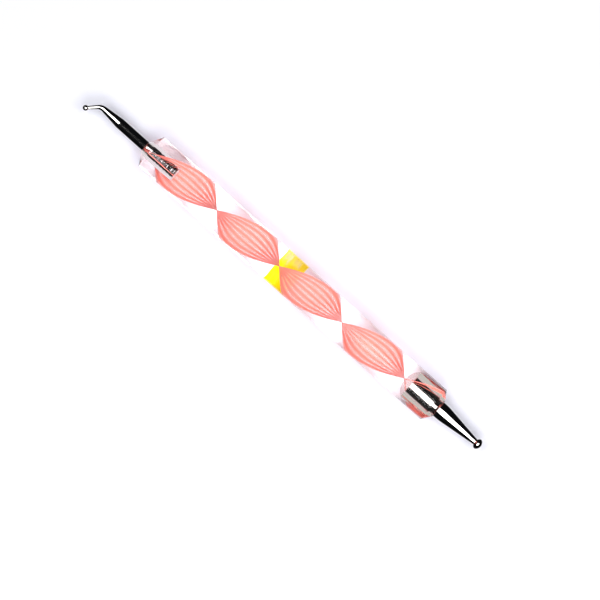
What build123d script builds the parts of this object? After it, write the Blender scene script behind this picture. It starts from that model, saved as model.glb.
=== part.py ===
from build123d import *
import os
from math import acos, asin, atan2, cos, degrees, hypot, radians, sin, sqrt, tan

# Double-ended embossing stylus lying on its side, in millimetres.
# The handle runs along X from the fine tip to the broad tip, and rests on z = 0.

# Clear handle rod, sawn from bar and turned to a bevel at each end
rod_diameter = 10.0
rod_length = 100.0
fine_bevel_angle = 31.0
broad_bevel_angle = 35.5

# Ribbon cast in the rod: flat coloured strips side by side, twisted together. Each goes
# round the axis in short straight steps.
strip_count = 7
strip_width = 0.85
strip_thickness = 0.12
strip_spacing = 0.95
twist_lead = 42.6
steps_per_turn = 15
edge_on_distance = 24.4

# Fine tip: a grooved shank, a tapered neck bent to one side and a small ball
needle_diameter = 3.0
needle_depth = 10.4
needle_clearance = 0.08
needle_taper_start = 8.8
bend_start = 14.0
bend_start_diameter = 1.75
bend_radius = 2.5
bend_angle = 45.0
bend_end_diameter = 1.2
needle_leg = 3.0
needle_neck_diameter = 0.95
fine_ball_diameter = 1.6
groove_start = 4.4
groove_pitch = 1.1
groove_width = 0.5
groove_depth = 0.15

# Broad tip: a plain shank, a rounded shoulder, a tapered stem and a flattened ball
shank_diameter = 4.8
shank_depth = 9.45
shank_clearance = 0.3
shoulder_start = 0.6
shoulder_radius = 17.0
stem_neck_diameter = 1.8
ball_centre_distance = 13.4
broad_ball_diameter = 3.1
broad_ball_length = 2.3
ball_rim_radius = 0.77

# Glue that holds each shank at the bottom of its bore
dome_depth = 1.95
fine_glue_thickness = 0.35

# How far the strips run past each end of the rod before they are cut to it
overrun = 1.0

# Places that follow from the sizes above
rod_radius = rod_diameter / 2
needle_radius = needle_diameter / 2
shank_radius = shank_diameter / 2
needle_bore_radius = needle_radius + needle_clearance
shank_bore_radius = shank_radius + shank_clearance
fine_bevel_length = (rod_radius - needle_bore_radius) * tan(radians(fine_bevel_angle))
broad_bevel_length = (rod_radius - shank_bore_radius) * tan(radians(broad_bevel_angle))
needle_bore_depth = needle_depth + fine_glue_thickness
groove_count = int((needle_depth - groove_start) / groove_pitch)

bend_turn = radians(bend_angle)
fine_reach = (
    bend_start
    + bend_radius * sin(bend_turn)
    + needle_leg * cos(bend_turn)
    + fine_ball_diameter / 2
)
broad_reach = ball_centre_distance + broad_ball_length / 2
overall_length = fine_reach + rod_length + broad_reach
fine_end = fine_reach - overall_length / 2
broad_end = fine_end + rod_length
axis_height = rod_radius
handle_axis = Axis((0, 0, axis_height), (1, 0, 0))
# Profiles are drawn from the axis outwards, in the upright plane through it
profile_plane = Plane(origin=(0, 0, axis_height), x_dir=(1, 0, 0), z_dir=(0, -1, 0))


# Rod before the ribbon is let in: a revolved outline with a bore in each end
with BuildPart() as rod_blank:
    with BuildSketch(profile_plane):
        with BuildLine():
            Polyline(
                (fine_end + needle_bore_depth, 0),
                (fine_end + needle_bore_depth, needle_bore_radius),
                (fine_end, needle_bore_radius),
                (fine_end + fine_bevel_length, rod_radius),
                (broad_end - broad_bevel_length, rod_radius),
                (broad_end, shank_bore_radius),
                (broad_end - shank_depth, shank_bore_radius),
            )
            dome_base = (broad_end - shank_depth, shank_bore_radius)
            dome_top = (broad_end - shank_depth - dome_depth, 0)
            TangentArc(dome_top, dome_base, tangent=(0, 1))
            Line(dome_top, (fine_end + needle_bore_depth, 0))
        make_face()
    revolve(axis=handle_axis)

# The strips twist to the left, and stop at the bottom of a bore that they run into
first_x = fine_end - overrun
ribbon_run = rod_length + 2 * overrun
step_count = round(steps_per_turn * ribbon_run / twist_lead)


def strip_corners(offset, step):
    x = first_x + ribbon_run * step / step_count
    turn = 90.0 + 360.0 * (fine_end + edge_on_distance - x) / twist_lead
    outward = Vector(0, 1, 0).rotate(Axis.X, turn)
    upward = Vector(0, 0, 1).rotate(Axis.X, turn) * (strip_thickness / 2)
    near = Vector(x, 0, axis_height) + outward * (offset - strip_width / 2)
    far = Vector(x, 0, axis_height) + outward * (offset + strip_width / 2)
    return [near - upward, far - upward, far + upward, near + upward]


strips = []
for index in range(strip_count):
    offset = (index - (strip_count - 1) / 2) * strip_spacing
    sections = [strip_corners(offset, step) for step in range(step_count + 1)]
    # Each side of a step is two flat triangles, because a twisted strip has no flat sides
    outlines = [sections[0], sections[-1]]
    for first, second in zip(sections, sections[1:]):
        for side in range(4):
            ahead = (side + 1) % 4
            outlines.append([first[side], first[ahead], second[ahead]])
            outlines.append([first[side], second[ahead], second[side]])
    faces = [Face(Wire.make_polygon(outline)) for outline in outlines]
    with BuildPart() as strip:
        add(Solid(Shell(faces)))
        add(rod_blank.part, mode=Mode.INTERSECT)
    strip.part.label = f"ribbon_strip_{index + 1}"
    strips.append(strip)

# The clear rod fills all the space round the strips
with BuildPart() as handle_rod:
    add(rod_blank.part)
    for strip in strips:
        add(strip.part, mode=Mode.SUBTRACT)
handle_rod.part.label = "handle_rod"

# Fine tip, one piece of steel: ring grooves on the shank give the glue a hold, and the
# neck narrows as it bends to one side and ends in a small ball
with BuildPart() as fine_tip:
    bend_start_x = fine_end - bend_start
    groove_bottom = needle_radius - groove_depth
    with BuildSketch(profile_plane):
        with BuildLine():
            outline = [(bend_start_x, 0), (bend_start_x, bend_start_diameter / 2)]
            outline.append((fine_end - needle_taper_start, needle_radius))
            for index in range(groove_count):
                near = fine_end + groove_start + index * groove_pitch
                outline.append((near, needle_radius))
                outline.append((near + groove_width / 2, groove_bottom))
                outline.append((near + groove_width, needle_radius))
            outline.append((fine_end + needle_depth, needle_radius))
            outline.append((fine_end + needle_depth, 0))
            Polyline(*outline, close=True)
        make_face()
    revolve(axis=handle_axis)
    with BuildLine(Plane.XY.offset(axis_height)) as bend_path:
        bend = JernArc((bend_start_x, 0), (-1, 0), bend_radius, bend_angle)
    with BuildSketch(Plane(origin=bend @ 0, z_dir=bend % 0)) as bend_base:
        Circle(bend_start_diameter / 2)
    with BuildSketch(Plane(origin=bend @ 1, z_dir=bend % 1)) as bend_top:
        Circle(bend_end_diameter / 2)
    sweep([bend_base.sketch, bend_top.sketch], path=bend, multisection=True)
    fine_ball_centre = bend @ 1 + (bend % 1) * needle_leg
    neck_inset = sqrt((fine_ball_diameter / 2) ** 2 - (needle_neck_diameter / 2) ** 2)
    neck_centre = fine_ball_centre - (bend % 1) * neck_inset
    with BuildSketch(Plane(origin=neck_centre, z_dir=bend % 1)) as neck:
        Circle(needle_neck_diameter / 2)
    loft([bend_top.sketch, neck.sketch])
    with Locations(fine_ball_centre):
        Sphere(fine_ball_diameter / 2)
fine_tip.part.label = "fine_tip"

# Broad tip, one turned piece: the shank rounds over into a tapered stem, which meets the
# back of a ball that is shorter than it is wide. Three arcs draw the ball: a cap at each
# end, and the rim between them.
rim_centre_radius = broad_ball_diameter / 2 - ball_rim_radius
cap_radius = (
    (broad_ball_length / 2) ** 2 + rim_centre_radius**2 - ball_rim_radius**2
) / (broad_ball_length - 2 * ball_rim_radius)
cap_turn = degrees(asin(rim_centre_radius / (cap_radius - ball_rim_radius)))
stem_neck_radius = stem_neck_diameter / 2
neck_turn = degrees(asin(stem_neck_radius / cap_radius))
neck_x = (
    broad_end
    + ball_centre_distance
    + (cap_radius - broad_ball_length / 2)
    - sqrt(cap_radius**2 - stem_neck_radius**2)
)
# The stem's side touches the shoulder's arc
shoulder_run = neck_x - broad_end - shoulder_start
shoulder_rise = stem_neck_radius - shank_radius + shoulder_radius
shoulder_turn = 90.0 - degrees(
    atan2(shoulder_rise, shoulder_run)
    + acos(shoulder_radius / hypot(shoulder_run, shoulder_rise))
)
with BuildPart() as broad_tip:
    shank_end = broad_end - shank_depth
    with BuildSketch(profile_plane):
        with BuildLine():
            ball_end = (broad_end + broad_reach, 0)
            cap = JernArc(ball_end, (0, 1), cap_radius, cap_turn)
            rim = JernArc(cap @ 1, cap % 1, ball_rim_radius, 180.0 - 2 * cap_turn)
            back = JernArc(rim @ 1, rim % 1, cap_radius, cap_turn - neck_turn)
            shoulder = JernArc(
                (broad_end + shoulder_start, shank_radius),
                (1, 0),
                shoulder_radius,
                -shoulder_turn,
            )
            Line(shoulder @ 1, back @ 1)
            Polyline(shoulder @ 0, (shank_end, shank_radius), (shank_end, 0), ball_end)
        make_face()
    revolve(axis=handle_axis)
broad_tip.part.label = "broad_tip"

# Glue: a thin disc under the fine tip, and a plug that fills the domed end of the
# broad bore
with BuildPart() as fine_tip_glue:
    glue_x = fine_end + needle_depth
    with BuildSketch(Plane(origin=(glue_x, 0, axis_height), z_dir=(1, 0, 0))):
        Circle(needle_bore_radius)
    extrude(amount=fine_glue_thickness)
fine_tip_glue.part.label = "fine_tip_glue"

with BuildPart() as broad_tip_glue:
    with BuildSketch(profile_plane):
        with BuildLine():
            TangentArc(dome_top, dome_base, tangent=(0, 1))
            Polyline(dome_base, (shank_end, 0), dome_top)
        make_face()
    revolve(axis=handle_axis)
broad_tip_glue.part.label = "broad_tip_glue"

os.makedirs("parts", exist_ok=True)
pieces = [handle_rod, fine_tip, broad_tip, fine_tip_glue, broad_tip_glue]
for piece in pieces + strips:
    export_step(piece.part, f"parts/{piece.part.label}.step")

least_bend = needle_leg - neck_inset
print(f"overall length {overall_length:.2f} mm, straight needle after the bend {least_bend:.2f} mm")
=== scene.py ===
from math import acos, asin, atan2, cos, hypot, pi, radians, sin, sqrt, tan
from random import Random

import bmesh
import bpy
from mathutils import Matrix, Vector


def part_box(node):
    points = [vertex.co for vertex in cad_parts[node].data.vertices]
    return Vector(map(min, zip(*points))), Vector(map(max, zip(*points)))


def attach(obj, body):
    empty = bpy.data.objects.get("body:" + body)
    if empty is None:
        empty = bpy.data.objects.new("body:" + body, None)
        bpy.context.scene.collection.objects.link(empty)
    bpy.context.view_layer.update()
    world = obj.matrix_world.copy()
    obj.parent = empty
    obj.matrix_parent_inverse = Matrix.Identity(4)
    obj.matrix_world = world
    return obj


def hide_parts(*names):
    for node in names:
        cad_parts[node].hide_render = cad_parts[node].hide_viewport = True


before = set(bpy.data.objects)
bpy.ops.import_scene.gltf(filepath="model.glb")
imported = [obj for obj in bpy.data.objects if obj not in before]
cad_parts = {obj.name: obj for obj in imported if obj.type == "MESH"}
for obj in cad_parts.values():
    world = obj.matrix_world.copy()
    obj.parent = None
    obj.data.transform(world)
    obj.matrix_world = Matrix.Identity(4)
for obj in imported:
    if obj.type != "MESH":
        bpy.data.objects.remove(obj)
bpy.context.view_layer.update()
MM = 0.001

# Handle: a clear acrylic bar, sawn, turned with a bevel on each end, bored from both ends and
# polished, so it bends what lies inside it like a lens. The clear glue in the bores does the
# same, so the clear body here goes on through it to the ends of the two shanks.
rod_low, rod_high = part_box("handle_rod")
fine_end, broad_end = rod_low.x, rod_high.x
rod_radius = (rod_high.z - rod_low.z) / 2
axis_height = (rod_high.z + rod_low.z) / 2
fine_bevel = radians(31.0)
broad_bevel = radians(35.5)
edge_radius = 0.3 * MM
needle_bore_radius = 1.58 * MM
needle_bore_depth = 10.75 * MM
fine_glue_thickness = 0.34 * MM
shank_bore_radius = 2.7 * MM
shank_bore_depth = 9.45 * MM
bore_relief = 0.01 * MM
dome_depth = 1.95 * MM
fine_bevel_length = (rod_radius - needle_bore_radius) * tan(fine_bevel)
broad_bevel_length = (rod_radius - shank_bore_radius) * tan(broad_bevel)
needle_bore_bottom = fine_end + needle_bore_depth
shank_bore_bottom = broad_end - shank_bore_depth
dome_radius = (shank_bore_radius**2 + dome_depth**2) / (2 * dome_depth)
dome_centre = shank_bore_bottom - dome_depth + dome_radius
ROD_SIDES = 256
WELD_DISTANCE = 0.0005 * MM

acrylic_colour = (1.0, 0.985, 0.985, 1)
# The pink near the ends is painted light, standing in for the ribbon's light thrown on the bar
painted_bounce_colour = (0.97, 0.9, 0.89, 1)
fine_bounce_full, fine_bounce_reach = 4 * MM, 17 * MM
broad_bounce_full, broad_bounce_reach = 9 * MM, 17 * MM
bounce_inner_radius, bounce_outer_radius = 2.75 * MM, 4.0 * MM
steep_side_shade = (0.1, 0.06, 0.16, 1)
NEARLY_LEVEL = 0.9
WHITE = (1, 1, 1, 1)


def arc(centre, radius, start, end, steps):
    """Points of an arc in the (along, out) plane; angles are measured from +X outwards."""
    turns = [start + (end - start) * step / steps for step in range(steps + 1)]
    return [(centre[0] + radius * cos(t), centre[1] + radius * sin(t)) for t in turns]


def eased_edge(x, side, bevel):
    """The edge between a bevel and the bar's side, rounded a little by the polishing."""
    centre = (x + side * edge_radius * tan((pi / 2 - bevel) / 2), rod_radius - edge_radius)
    first = pi - bevel if side > 0 else bevel
    return arc(centre, edge_radius, first, pi / 2, steps=5)


def lathe(name, outline, sides, sharp_angle):
    """A solid of revolution about the handle's axis, from (along, out) points."""
    bm = bmesh.new()
    points = [bm.verts.new((x, 0, axis_height + out)) for x, out in outline]
    for a, b in zip(points, points[1:]):
        bm.edges.new((a, b))
    bmesh.ops.spin(
        bm,
        geom=bm.verts[:] + bm.edges[:],
        cent=(0, 0, axis_height),
        axis=(1, 0, 0),
        dvec=(0, 0, 0),
        angle=2 * pi,
        steps=sides,
        use_merge=True,
        use_normal_flip=False,
        use_duplicate=False,
    )
    return finished(name, bm, sharp_angle)


def finished(name, bm, sharp_angle):
    """Closes the seams and poles, turns the faces outwards and makes the object."""
    bmesh.ops.remove_doubles(bm, verts=bm.verts[:], dist=WELD_DISTANCE)
    bmesh.ops.recalc_face_normals(bm, faces=bm.faces[:])
    for face in bm.faces:
        face.smooth = True
    mesh = bpy.data.meshes.new(name)
    bm.to_mesh(mesh)
    bm.free()
    mesh.set_sharp_from_angle(angle=sharp_angle)
    piece = bpy.data.objects.new(name, mesh)
    bpy.context.scene.collection.objects.link(piece)
    return piece


def new_material(name, **inputs):
    """A material whose shader has these values on its own sockets."""
    material = bpy.data.materials.new(name)
    material.use_nodes = True
    shader = material.node_tree.nodes["Principled BSDF"]
    for key, value in inputs.items():
        shader.inputs[key.replace("_", " ")].default_value = value
    return material


class Maker:
    """Adds nodes to a material or to the world, and wires them."""

    def __init__(self, owner):
        self.nodes = owner.node_tree.nodes
        self.links = owner.node_tree.links

    def node(self, kind, settings=None, **inputs):
        """A new node's first output. Inputs go by name, or by number as in _0."""
        made = self.nodes.new(kind)
        for key, value in (settings or {}).items():
            setattr(made, key, value)
        for key, value in inputs.items():
            slot = int(key[1:]) if key[1:].isdigit() else key.replace("_", " ")
            if isinstance(value, bpy.types.NodeSocket):
                self.links.new(value, made.inputs[slot])
            else:
                made.inputs[slot].default_value = value
        return made.outputs[0]

    def math(self, operation, a, b=0.0):
        return self.node("ShaderNodeMath", {"operation": operation}, _0=a, _1=b)

    def spread(self, value, low, high, first, last):
        """Maps low..high on to first..last with soft ends."""
        settings = {"interpolation_type": "SMOOTHSTEP"}
        return self.node(
            "ShaderNodeMapRange", settings, _0=value, _1=low, _2=high, _3=first, _4=last
        )

    def blend(self, factor, first, second):
        """A mix of two colours."""
        made = self.nodes.new("ShaderNodeMix")
        made.data_type = "RGBA"
        self.links.new(factor, made.inputs["Factor"])
        made.inputs[6].default_value = first
        made.inputs[7].default_value = second
        return made.outputs[2]

    def place(self):
        """The place of a point, whole and apart as x, y and z."""
        made = self.nodes.new("ShaderNodeSeparateXYZ")
        coordinates = self.nodes.new("ShaderNodeTexCoord")
        self.links.new(coordinates.outputs["Object"], made.inputs[0])
        return coordinates.outputs["Object"], made.outputs

    def coloured(self, kind, colour):
        """A shader node of this kind, in one colour."""
        made = self.nodes.new(kind)
        made.inputs["Color"].default_value = colour
        return made

    def layered(self, under, over, share):
        """The second shader laid over the first by this share."""
        mix = self.nodes.new("ShaderNodeMixShader")
        self.links.new(share, mix.inputs["Fac"])
        self.links.new(under.outputs[0], mix.inputs[1])
        self.links.new(over.outputs[0], mix.inputs[2])
        return mix

    def to_shader(self, socket, output):
        self.links.new(output, self.nodes["Principled BSDF"].inputs[socket])

    def to_surface(self, shader, output="Material Output"):
        self.links.new(shader.outputs[0], self.nodes[output].inputs["Surface"])


handle = lathe(
    "clear_handle",
    [
        (needle_bore_bottom - fine_glue_thickness, 0),
        (needle_bore_bottom - fine_glue_thickness, needle_bore_radius),
        (fine_end, needle_bore_radius),
        *eased_edge(fine_end + fine_bevel_length, 1, fine_bevel),
        *eased_edge(broad_end - broad_bevel_length, -1, broad_bevel)[::-1],
        (broad_end, shank_bore_radius),
        (shank_bore_bottom - bore_relief, shank_bore_radius),
        (shank_bore_bottom - bore_relief, 0),
    ],
    ROD_SIDES,
    sharp_angle=radians(20),
)
acrylic = new_material(
    "clear_acrylic",
    Roughness=0.0,
    IOR=1.49,
    Transmission_Weight=1.0,
    # Painted shade: a grey specular tint dims the lamps that the bar mirrors
    Specular_Tint=(0.35, 0.35, 0.35, 1),
)
maker = Maker(acrylic)
# Lamps shine through the rod on to the ribbon and the table, less through its steep sides
light_path = maker.nodes.new("ShaderNodeLightPath")
clear = maker.nodes.new("ShaderNodeBsdfTransparent")
geometry = maker.nodes.new("ShaderNodeNewGeometry")
facing = maker.nodes.new("ShaderNodeSeparateXYZ")
maker.links.new(geometry.outputs["Normal"], facing.inputs[0])
facing_up = maker.spread(maker.math("ABSOLUTE", facing.outputs[2]), 0.0, NEARLY_LEVEL, 0.0, 1.0)
maker.links.new(maker.blend(facing_up, steep_side_shade, WHITE), clear.inputs["Color"])
glassy = maker.nodes["Principled BSDF"]
maker.to_surface(maker.layered(glassy, clear, light_path.outputs["Is Shadow Ray"]))
# Painted light: near both ends the bar's skin is tinged pink, standing in for the ribbon's
# light thrown on to it
point, place = maker.place()
near_fine = maker.spread(place[0], fine_end + fine_bounce_full, fine_end + fine_bounce_reach, 1, 0)
near_broad = maker.spread(
    place[0], broad_end - broad_bounce_reach, broad_end - broad_bounce_full, 0, 1
)
painted_bounce_share = maker.math("MAXIMUM", near_fine, near_broad)
level = maker.math("SUBTRACT", place[2], axis_height)
squared = maker.math("MULTIPLY", place[1], place[1])
squared = maker.math("ADD", squared, maker.math("MULTIPLY", level, level))
skin = maker.spread(maker.math("SQRT", squared), bounce_inner_radius, bounce_outer_radius, 0, 1)
painted_bounce_share = maker.math("MULTIPLY", painted_bounce_share, skin)
maker.to_shader("Base Color", maker.blend(painted_bounce_share, acrylic_colour, painted_bounce_colour))
handle.data.materials.append(acrylic)
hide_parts("handle_rod")
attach(handle, "root")

# Ribbon: seven flat strips of salmon plastic, cast side by side in the bar and twisted with
# it, cut flush with the bevels or stopped at the bottom of a bore. Each is densest down its
# middle. A little glow is painted on them, as painted light, so the ribbon stays bright on
# edge.
STRIP_COUNT = 7
strip_width = 0.94 * MM
strip_thickness = 0.12 * MM
strip_spacing = 0.95 * MM
twist_lead = 42.6 * MM
edge_on_distance = 24.4 * MM
flush_gap = 0.01 * MM
STEPS_PER_TURN = 120
STRIP_SIDES = 16

dense_salmon = (0.86, 0.208, 0.168, 1)
thin_salmon = (0.95, 0.41, 0.37, 1)
# Painted light: a glow on the strips, which are no lamp
painted_glow = (1.0, 0.13, 0.1, 1)
# Where a strip starts to thin out and to pale, and where it has done so, from its middle, as
# shares of its spacing
thinning_from, paling_from, thin_from = 0.04, 0.06, 0.4
edge_cover = 0.5
STRIPS_AHEAD = 100


def first_x_at(out):
    """Where the acrylic begins at this distance from the axis, from the fine end."""
    if out < needle_bore_radius:
        return needle_bore_bottom + flush_gap
    return fine_end + (out - needle_bore_radius) * tan(fine_bevel) + flush_gap


def last_x_at(out):
    """Where the acrylic ends at this distance from the axis."""
    if out < shank_bore_radius:
        return dome_centre - sqrt(dome_radius**2 - out**2) - flush_gap
    return broad_end - (out - shank_bore_radius) * tan(broad_bevel) - flush_gap


def ribbon_turn(x):
    """How far the ribbon is turned about the axis at this place."""
    return pi / 2 + 2 * pi * (fine_end + edge_on_distance - x) / twist_lead


def twisted_strip(name, offset):
    """A strip swept along the bar, cut to the bar's ends and to its bores."""
    start, end = first_x_at(abs(offset)), last_x_at(abs(offset))
    steps = round((end - start) / twist_lead * STEPS_PER_TURN)
    bm = bmesh.new()
    placing = (
        Matrix.Translation((start, 0, axis_height))
        @ Matrix.Rotation(ribbon_turn(start), 4, "X")
        @ Matrix.Translation((0, offset, 0))
        @ Matrix.Diagonal((1, strip_width / 2, strip_thickness / 2, 1))
        @ Matrix.Rotation(pi / 2, 4, "Y")
    )
    bmesh.ops.create_circle(bm, cap_ends=True, radius=1, segments=STRIP_SIDES, matrix=placing)
    rings = [bm.verts[:]]
    made = bmesh.ops.spin(
        bm,
        geom=bm.verts[:] + bm.edges[:] + bm.faces[:],
        cent=(0, 0, axis_height),
        axis=(1, 0, 0),
        dvec=((end - start) / steps, 0, 0),
        angle=-2 * pi * (end - start) / twist_lead,
        steps=steps,
        use_merge=False,
        use_normal_flip=False,
        use_duplicate=False,
    )
    rings.append([item for item in made["geom_last"] if isinstance(item, bmesh.types.BMVert)])
    for ring, edge_at in zip(rings, (first_x_at, last_x_at)):
        for vert in ring:
            vert.co.x = edge_at(hypot(vert.co.y, vert.co.z - axis_height))
    # Drilling the bores has cut away what stood in their way
    for vert in bm.verts:
        out = hypot(vert.co.y, vert.co.z - axis_height)
        bore = 0
        if vert.co.x < needle_bore_bottom:
            bore = needle_bore_radius + flush_gap
        elif vert.co.x > shank_bore_bottom - dome_depth:
            bore = shank_bore_radius + flush_gap
        if abs(offset) > bore > out:
            vert.co.y *= bore / out
            vert.co.z = axis_height + (vert.co.z - axis_height) * bore / out
    return finished(name, bm, sharp_angle=radians(50))


# The emission here is painted light that keeps edge-on strips bright
salmon = new_material(
    "ribbon_salmon",
    Roughness=0.6,
    Specular_IOR_Level=0.0,
    Emission_Color=painted_glow,
    Emission_Strength=0.14,
)
maker = Maker(salmon)
point, place = maker.place()
# How far out along the ribbon's own width a point lies, wherever the twist has got to
turn = maker.math("MULTIPLY", place[0], -2 * pi / twist_lead)
turn = maker.math("ADD", turn, ribbon_turn(0))
level = maker.math("SUBTRACT", place[2], axis_height)
sideways = maker.math("MULTIPLY", place[1], maker.math("COSINE", turn))
across = maker.math("ADD", sideways, maker.math("MULTIPLY", level, maker.math("SINE", turn)))
# Counted in strips from well beyond one side, so that each strip's middle is at a half
strips = maker.math("DIVIDE", across, strip_spacing)
strips = maker.math("ADD", strips, STRIPS_AHEAD + 0.5)
middle = maker.math("SUBTRACT", maker.math("FRACT", strips), 0.5)
from_middle = maker.math("ABSOLUTE", middle)
tone = maker.spread(from_middle, paling_from, thin_from, 0.0, 1.0)
maker.to_shader("Base Color", maker.blend(tone, dense_salmon, thin_salmon))
maker.to_shader("Alpha", maker.spread(from_middle, thinning_from, thin_from, 1.0, edge_cover))

for index in range(STRIP_COUNT):
    offset = (index - (STRIP_COUNT - 1) / 2) * strip_spacing
    strip = twisted_strip(f"twisted_strip_{index + 1}", offset)
    strip.data.materials.append(salmon)
    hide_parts(f"ribbon_strip_{index + 1}")
    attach(strip, "root")

# Yellow patch: a plain patch of ink with bowed sides, printed on the underside of the bar
# and seen through it. The print is uneven, and thinner along its +Y side.
patch_radius = rod_radius - 0.03 * MM
patch_middle = 0.15 * MM
patch_half_length = 3.5 * MM
patch_half_turn = radians(34)
# The higher this is, the squarer the patch: 2 makes it fully round
patch_squareness = 2.6
PATCH_COLUMNS, PATCH_ROWS = 48, 32
thin_print_start, thin_print_full = 0.4 * MM, 2.0 * MM
thin_print_cover = 0.3
blotch_reach = 3 * MM

bm = bmesh.new()
bmesh.ops.create_grid(bm, x_segments=PATCH_COLUMNS, y_segments=PATCH_ROWS, size=1)
for vert in bm.verts:
    along = vert.co.x * sqrt(1 - vert.co.y**2 / patch_squareness)
    around = vert.co.y * sqrt(1 - vert.co.x**2 / patch_squareness)
    turn = around * patch_half_turn
    vert.co.x = patch_middle + along * patch_half_length
    vert.co.y = patch_radius * sin(turn)
    vert.co.z = axis_height - patch_radius * cos(turn)
patch = finished("yellow_patch", bm, sharp_angle=radians(60))
ink = new_material(
    "yellow_ink",
    Base_Color=(1.0, 0.9, 0.0, 1),
    Roughness=0.5,
    Specular_IOR_Level=0.0,
)
maker = Maker(ink)
point, place = maker.place()
grain = maker.node("ShaderNodeTexNoise", _0=point, Scale=2500.0, Detail=2.0)
cover = maker.spread(grain, 0.2, 0.6, 0.8, 0.95)
blotches = maker.node("ShaderNodeTexNoise", _0=point, Scale=700.0, Detail=2.0)
unevenness = maker.math("MULTIPLY", maker.math("SUBTRACT", blotches, 0.5), blotch_reach)
uneven_y = maker.math("ADD", place[1], unevenness)
thinness = maker.spread(uneven_y, thin_print_start, thin_print_full, 1, thin_print_cover)
maker.to_shader("Alpha", maker.math("MULTIPLY", cover, thinness))
patch.data.materials.append(ink)
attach(patch, "root")

# Fine tip: one piece of polished steel. The buried half of its shank is cut with rings and
# scored for the glue; outside, it tapers from a crisp edge, bends and ends in a small ball.
needle_radius = 1.5 * MM
needle_depth = 10.4 * MM
end_cone = 0.05 * MM
end_chamfer = 0.15 * MM
score_start = 4.0 * MM
score_depth = 0.0008 * MM
least_score_step, most_score_step = 0.05 * MM, 0.11 * MM
groove_start = 4.4 * MM
groove_pitch = 1.1 * MM
groove_width = 0.5 * MM
groove_depth = 0.15 * MM
taper_start = fine_end - 8.8 * MM
bend_start = fine_end - 14.0 * MM
bend_start_radius = 0.875 * MM
bend_end_radius = 0.6 * MM
bend_radius = 2.5 * MM
bend_turn = radians(45)
leg = 3.0 * MM
neck_radius = 0.475 * MM
fine_ball_radius = 0.8 * MM
bend_run = bend_radius * bend_turn
bend_end = bend_start - bend_run
fine_ball_x = bend_end - leg
neck_turn = asin(neck_radius / fine_ball_radius)
neck_x = fine_ball_x + fine_ball_radius * cos(neck_turn)
needle_bottom = fine_end + needle_depth
TIP_SIDES = 128
TIP_SHARP_ANGLE = radians(5.5)
chance = Random(3)

bright_steel = (0.8, 0.79, 0.76, 1)
# Painted shade: the buried steel is made darker to dim its reflections
painted_dark_steel = (0.48, 0.48, 0.5, 1)
darkening_start, darkening_full = 0.5 * MM, 3 * MM


def scored(start, end):
    """A rough stretch of shank, from its bottom outwards, with the ring grooves in it."""
    points, x = [], start
    while x > end:
        into = (x - fine_end - groove_start) % groove_pitch
        groove = max(0, 1 - abs(into / groove_width * 2 - 1)) * groove_depth
        points.append((x, needle_radius - groove - chance.uniform(0, score_depth)))
        x -= chance.uniform(least_score_step, most_score_step)
    return points


def tapered(start, start_radius, end, end_radius, steps):
    """Evenly spaced points between two places along the outline."""
    length, change = end - start, end_radius - start_radius
    return [
        (start + length * k / steps, start_radius + change * k / steps)
        for k in range(1, steps + 1)
    ]


fine_tip = lathe(
    "fine_bent_tip",
    [(needle_bottom, 0), (needle_bottom - end_cone, needle_radius - end_chamfer)]
    + scored(needle_bottom - end_chamfer, fine_end + score_start)
    + [(fine_end + score_start, needle_radius), (taper_start, needle_radius)]
    + tapered(taper_start, needle_radius, bend_start, bend_start_radius, steps=4)
    + tapered(bend_start, bend_start_radius, bend_end, bend_end_radius, steps=24)
    + tapered(bend_end, bend_end_radius, neck_x, neck_radius, steps=8)
    + arc((fine_ball_x, 0), fine_ball_radius, neck_turn, pi, steps=40)[1:],
    TIP_SIDES,
    TIP_SHARP_ANGLE,
)
# The outline is turned straight and then bent towards -Y
for vert in fine_tip.data.vertices:
    run = bend_start - vert.co.x
    if run <= 0:
        continue
    bent = min(run, bend_run) / bend_radius
    beyond = max(run - bend_run, 0)
    side = bend_radius + vert.co.y
    vert.co.x = bend_start - side * sin(bent) - beyond * cos(bent)
    vert.co.y = side * cos(bent) - bend_radius - beyond * sin(bent)

steel = new_material("tip_steel", Metallic=1.0)
maker = Maker(steel)
point, place = maker.place()
grain = maker.node("ShaderNodeTexNoise", _0=point, Scale=9000.0, Detail=3.0)
roughness = maker.spread(grain, 0.3, 0.7, 0.03, 0.1)
# Where the fine shank is scored, patches of the steel are dull, and the buried part is painted
# darker: painted shade that dims what it mirrors
buried = maker.spread(place[0], fine_end + darkening_start, fine_end + darkening_full, 0, 1)
fine_half = maker.spread(place[0], 0, 0.01 * MM, 1, 0)
buried = maker.math("MULTIPLY", buried, fine_half)
scratches = maker.node("ShaderNodeTexNoise", _0=point, Scale=4500.0, Detail=2.0)
dull = maker.math("MULTIPLY", buried, maker.spread(scratches, 0.57, 0.63, 0, 0.24))
maker.to_shader("Roughness", maker.math("ADD", roughness, dull))
maker.to_shader("Base Color", maker.blend(buried, bright_steel, painted_dark_steel))
fine_tip.data.materials.append(steel)
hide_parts("fine_tip")
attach(fine_tip, "root")

# Broad tip: one turned piece of the same steel. Its shank keeps the lathe's fine rings; a
# rounded shoulder leads to a straight taper and a ball that is shorter than it is wide.
shank_radius = 2.4 * MM
shank_end = broad_end - shank_bore_depth
shank_chamfer = 0.12 * MM
plain_edge = 0.1 * MM
ring_pitch = 0.16 * MM
ring_height = 0.008 * MM
shoulder_start = broad_end + 0.6 * MM
shoulder_radius = 17.0 * MM
stem_neck_radius = 0.9 * MM
broad_ball_x = broad_end + 13.4 * MM
broad_ball_radius = 1.55 * MM
half_length = 1.15 * MM
rim_radius = 0.77 * MM
# Three arcs draw the ball: a cap at each end, and the rim between them
rim_out = broad_ball_radius - rim_radius
cap_radius = (half_length**2 + rim_out**2 - rim_radius**2) / (2 * (half_length - rim_radius))
cap_turn = asin(rim_out / (cap_radius - rim_radius))
cap_shift = cap_radius - half_length
back_turn = asin(stem_neck_radius / cap_radius)
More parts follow.
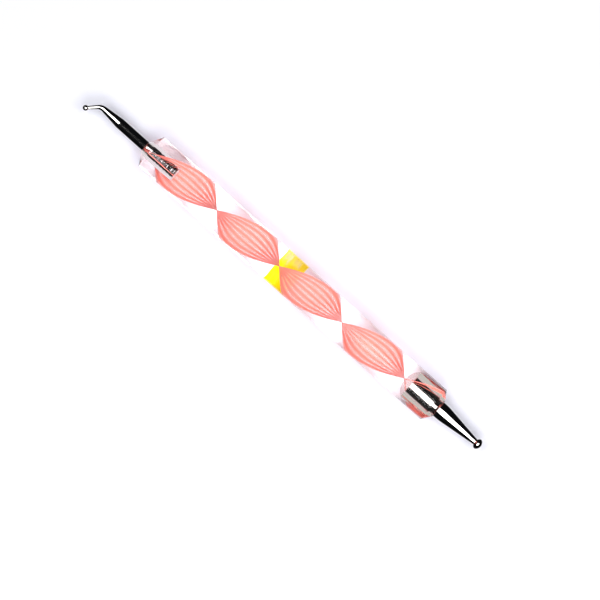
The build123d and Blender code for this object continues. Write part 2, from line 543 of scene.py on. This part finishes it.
# The stem's side touches the shoulder's arc
stem_neck_x = broad_ball_x + cap_shift - sqrt(cap_radius**2 - stem_neck_radius**2)
shoulder_run = stem_neck_x - shoulder_start
shoulder_rise = stem_neck_radius - shank_radius + shoulder_radius
shoulder_turn = (
    pi / 2
    - atan2(shoulder_rise, shoulder_run)
    - acos(shoulder_radius / hypot(shoulder_run, shoulder_rise))
)
shoulder_centre = (shoulder_start, shank_radius - shoulder_radius)


def turned(start, end, radius):
    """Fine rings left by the lathe, as a shallow zigzag."""
    count = round((end - start) / ring_pitch)
    step = (end - start) / count
    points = []
    for k in range(count):
        points.append((start + k * step, radius))
        points.append((start + (k + 0.5) * step, radius - ring_height))
    return points


broad_tip = lathe(
    "broad_tapered_tip",
    [(shank_end, 0), (shank_end, shank_radius - shank_chamfer)]
    + turned(shank_end + shank_chamfer, shoulder_start - plain_edge, shank_radius)
    + arc(shoulder_centre, shoulder_radius, pi / 2, pi / 2 - shoulder_turn, steps=12)
    + arc((broad_ball_x + cap_shift, 0), cap_radius, pi - back_turn, pi - cap_turn, steps=10)
    + arc((broad_ball_x, rim_out), rim_radius, pi - cap_turn, cap_turn, steps=20)[1:]
    + arc((broad_ball_x - cap_shift, 0), cap_radius, cap_turn, 0, steps=24)[1:],
    TIP_SIDES,
    TIP_SHARP_ANGLE,
)
broad_tip.data.materials.append(steel)
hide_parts("broad_tip")
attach(broad_tip, "root")

# Glue: a thin disc under the fine tip, a plug that fills the domed end of the broad bore,
# and a ring of it squeezed out at the mouth of each bore.
glue_gap = 0.01 * MM
fine_ring_end = fine_end + 0.2 * MM
broad_ring_end = broad_end - 0.12 * MM
glue = new_material(
    "clear_glue",
    Base_Color=(0.8, 0.62, 0.62, 1),
    Roughness=0.5,
    Specular_IOR_Level=0.0,
    Alpha=0.28,
)
squeezed_glue = new_material(
    "squeezed_glue",
    Base_Color=(0.3, 0.12, 0.1, 1),
    Roughness=0.3,
    Alpha=0.45,
)


def glue_piece(name, outline, material, node=None):
    """A round piece of glue, which stands for the CAD node if one is named."""
    piece = lathe(name, outline, sides=96, sharp_angle=radians(30))
    piece.data.materials.append(material)
    if node:
        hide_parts(node)
    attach(piece, "root")


disc_radius = needle_bore_radius - glue_gap
disc_start = needle_bottom + 3 * glue_gap
disc_end = needle_bore_bottom - glue_gap
glue_piece(
    "fine_glue_disc",
    [(disc_start, 0), (disc_start, disc_radius), (disc_end, disc_radius), (disc_end, 0)],
    glue,
    "fine_tip_glue",
)
plug_radius = dome_radius - glue_gap
plug_turn = asin((shank_bore_radius - glue_gap) / plug_radius)
glue_piece(
    "broad_glue_plug",
    arc((dome_centre, 0), plug_radius, pi, pi - plug_turn, steps=24)
    + [(shank_bore_bottom - 2 * glue_gap, 0)],
    glue,
    "broad_tip_glue",
)
for name, mouth, ring_end, inner, outer in (
    ("fine_mouth_glue", fine_end, fine_ring_end, needle_radius, needle_bore_radius),
    ("broad_mouth_glue", broad_end, broad_ring_end, shank_radius, shank_bore_radius),
):
    low, high = inner + glue_gap, outer - glue_gap
    glue_piece(
        name,
        [(mouth, low), (ring_end, low), (ring_end, high), (mouth, high), (mouth, low)],
        squeezed_glue,
    )

# Table and light: a white sheet under two big overhead softboxes in a dark room, with the
# camera looking down through the gap between them. Polished steel shows the lamps as a
# white top and the dark room as black flanks. Where steel mirrors the table far off, the
# table is painted dark (painted shade), and to light caught inside the bar it is painted
# grey (a painted reflection).
table_size = 1.4
# How far off the table has to be for steel to mirror it painted dark, as painted shade
mirrored_near, mirrored_far = 7 * MM, 11 * MM
grey_change = 30 * MM
room_dark = (0.004, 0.004, 0.005, 1)
fine_side_grey = (0.84, 0.82, 0.87, 1)
broad_side_grey = (0.6, 0.6, 0.56, 1)
room_grey = (0.5, 0.5, 0.47, 1)


def mirrored_paths(maker):
    """The light path, the share of it that was mirrored, and the share caught in the bar.

    Mirrored light that has crossed two or three clear faces glanced off the wall of a bore,
    and light that has crossed more and was never mirrored went through a bore. Both count
    as caught, and all other mirrored light as mirrored.
    """
    light_path = maker.nodes.new("ShaderNodeLightPath")
    crossings = light_path.outputs["Transmission Depth"]
    off_middle = maker.math("ABSOLUTE", maker.math("SUBTRACT", crossings, 2.5))
    two_or_three = maker.math("LESS_THAN", off_middle, 1)
    glossy = maker.math("MINIMUM", light_path.outputs["Glossy Depth"], 1)
    glanced = maker.math("MULTIPLY", glossy, two_or_three)
    mirrored = maker.math("SUBTRACT", glossy, glanced)
    through_bore = maker.math("GREATER_THAN", crossings, 3.5)
    through_bore = maker.math("MULTIPLY", through_bore, maker.math("SUBTRACT", 1, glossy))
    return light_path, mirrored, maker.math("MAXIMUM", glanced, through_bore)


bpy.ops.mesh.primitive_plane_add(size=table_size, location=(0, 0, 0))
table_top = bpy.context.object
table_top.name = "table_top"
paper = new_material(
    "white_paper",
    Base_Color=(0.84, 0.84, 0.92, 1.0),
    Roughness=0.9,
    Emission_Color=(0.85, 0.88, 1.0, 1),
    Emission_Strength=0.1,
)
table_top.data.materials.append(paper)
maker = Maker(paper)
light_path, mirrored, caught = mirrored_paths(maker)
ray_length = light_path.outputs["Ray Length"]
far_off = maker.spread(ray_length, mirrored_near, mirrored_far, 0, 1)
# Painted shade and painted reflection: dark where steel mirrors the table far off, grey to
# caught light
painted_unlit = maker.coloured("ShaderNodeEmission", room_dark)
painted_caught_grey = maker.nodes.new("ShaderNodeEmission")
point, place = maker.place()
towards_broad = maker.spread(place[0], -grey_change, grey_change, 0, 1)
grey_colour = maker.blend(towards_broad, fine_side_grey, broad_side_grey)
maker.links.new(grey_colour, painted_caught_grey.inputs["Color"])
sheet = maker.nodes["Principled BSDF"]
surface = maker.layered(sheet, painted_unlit, maker.math("MULTIPLY", mirrored, far_off))
maker.to_surface(maker.layered(surface, painted_caught_grey, caught))

# Each lamp reaches from the edge of the gap, near, out to an angle seen from the handle
softbox_height = 1.5
softbox_aside = -0.2
softbox_strength = 18.6
for name, near, reach, half_width in (
    ("softbox_fine_side", -0.25, radians(-24), radians(17)),
    ("softbox_broad_side", 0.05, radians(36), radians(28)),
):
    far = softbox_height * tan(reach)
    softbox_data = bpy.data.lights.new(name, "AREA")
    softbox_data.shape = "RECTANGLE"
    softbox_data.size = abs(far - near)
    softbox_data.size_y = 2 * softbox_height * tan(half_width)
    softbox_data.energy = softbox_strength * softbox_data.size * softbox_data.size_y
    softbox = bpy.data.objects.new(name, softbox_data)
    softbox.location = ((near + far) / 2, softbox_aside, softbox_height)
    bpy.context.scene.collection.objects.link(softbox)

# The room is white to the eye, dark to what steel mirrors and to the table, and painted grey
# to the light caught in the bar, as a painted reflection
world = bpy.data.worlds.new("studio")
bpy.context.scene.world = world
world.use_nodes = True
maker = Maker(world)
dark = maker.nodes["Background"]
dark.inputs["Color"].default_value = room_dark
white = maker.coloured("ShaderNodeBackground", WHITE)
painted_caught_grey = maker.coloured("ShaderNodeBackground", room_grey)
light_path, mirrored, caught = mirrored_paths(maker)
diffuse = maker.math("MINIMUM", light_path.outputs["Diffuse Depth"], 1)
surface = maker.layered(white, dark, maker.math("MAXIMUM", mirrored, diffuse))
maker.to_surface(maker.layered(surface, painted_caught_grey, caught), "World Output")

# Camera: straight down on the table, a long lens far above, turned so that the handle
# runs from upper left to lower right.
view_centre = Vector((7.4, -2.875, 5.0)) * MM
view_width = 152.6 * MM
view_right = Vector((0.7446, 0.6673, 0)).normalized()
view_up = Vector((0, 0, 1)).cross(view_right)
camera_distance = 1.1
scene = bpy.context.scene
camera_data = bpy.data.cameras.new("camera")
camera_data.lens = camera_data.sensor_width * camera_distance / view_width
camera_data.clip_start = 0.05
camera_data.clip_end = 10.0
camera = bpy.data.objects.new("camera", camera_data)
camera.matrix_world = Matrix.Translation(
    view_centre + Vector((0, 0, camera_distance))
) @ Matrix((view_right, view_up, (0, 0, 1))).transposed().to_4x4()
scene.collection.objects.link(camera)
scene.camera = camera

scene.view_settings.view_transform = "Standard"
scene.cycles.max_bounces = 24
scene.cycles.transmission_bounces = 16
scene.cycles.transparent_max_bounces = 24
